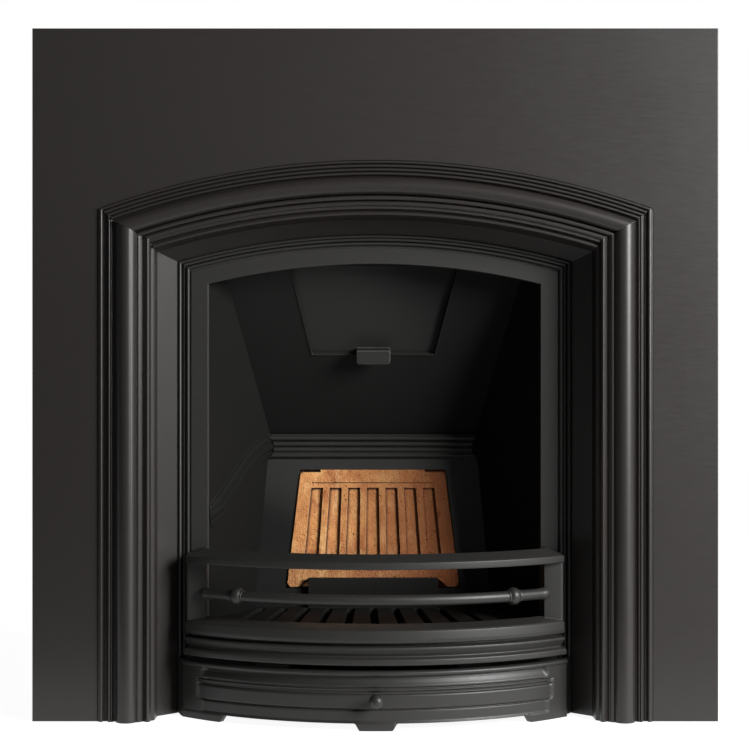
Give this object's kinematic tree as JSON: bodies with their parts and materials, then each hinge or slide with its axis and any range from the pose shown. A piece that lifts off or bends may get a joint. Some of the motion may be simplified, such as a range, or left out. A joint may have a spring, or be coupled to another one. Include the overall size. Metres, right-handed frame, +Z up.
{
  "type": "cast iron fireplace insert",
  "caption": "Arched cast iron fireplace insert with a square moulded plate, bowed front bars, ash cover with knob, fluted firebrick and a damper flap, black finish.",
  "frame": {"origin": "middle of the width and of the depth, on the hearth", "axes": "+X to the viewer's right when facing the fireplace, +Y into the wall, +Z up"},
  "size_m": [0.965, 0.369, 0.975],
  "materials": {
    "cast_iron": "blacked with graphite polish, satin with a fine sand-cast grain",
    "fireclay": "dry fired clay, orange tan, slightly mottled",
    "pan_sheet": "black painted pressed steel, semi matt",
    "steel_fittings": "plain zinc plated steel, dull"
  },
  "bodies": {
    "fireplace": {"surround": "cast_iron", "inner_frame": "cast_iron", "left_cheek": "cast_iron", "right_cheek": "cast_iron", "fireback": "cast_iron", "throat_plate": "cast_iron", "damper_pin": "steel_fittings", "firebrick": "fireclay", "brick_clips": "steel_fittings", "clip_screws": "steel_fittings", "wall_lugs": "steel_fittings", "lug_screws": "steel_fittings", "frame_screws": "steel_fittings", "cheek_screws": "steel_fittings", "lintel_screws": "steel_fittings", "throat_bolts": "steel_fittings", "throat_nuts": "steel_fittings", "back_bolts": "steel_fittings", "back_nuts": "steel_fittings", "shelf_bolts": "steel_fittings", "shelf_nuts": "steel_fittings"},
    "damper": {"damper_flap": "cast_iron"},
    "bars": {"front_bars": "cast_iron", "middle_bar": "cast_iron"},
    "grate": {"bottom_grate": "cast_iron"},
    "cover": {"ash_cover": "cast_iron", "cover_knob": "cast_iron", "knob_nut": "steel_fittings"},
    "pan": {"ash_pan": "pan_sheet", "pan_handle": "pan_sheet", "pan_rivets": "pan_sheet"}
  },
  "joints": [
    {"name": "damper_hinge", "type": "hinge", "parent": "fireplace", "child": "damper", "pos_m": [0, 0.10331, 0.52609], "axis": [-1, 0, 0], "range_deg": [0, 60]},
    {"name": "bars_lift", "type": "slide", "parent": "fireplace", "child": "bars", "axis": [0, 0, 1], "range_m": [0, 0.03]},
    {"name": "grate_lift", "type": "slide", "parent": "fireplace", "child": "grate", "axis": [0, 0, 1], "range_m": [0, 0.036]},
    {"name": "cover_slide", "type": "slide", "parent": "fireplace", "child": "cover", "axis": [0, -1, 0], "range_m": [0, 0.15]},
    {"name": "pan_slide", "type": "slide", "parent": "fireplace", "child": "pan", "axis": [0, -1, 0], "range_m": [0, 0.15]}
  ],
  "couplings": [
    {"joint": "pan_slide", "follows": "cover_slide", "ratio": 1}
  ]
}
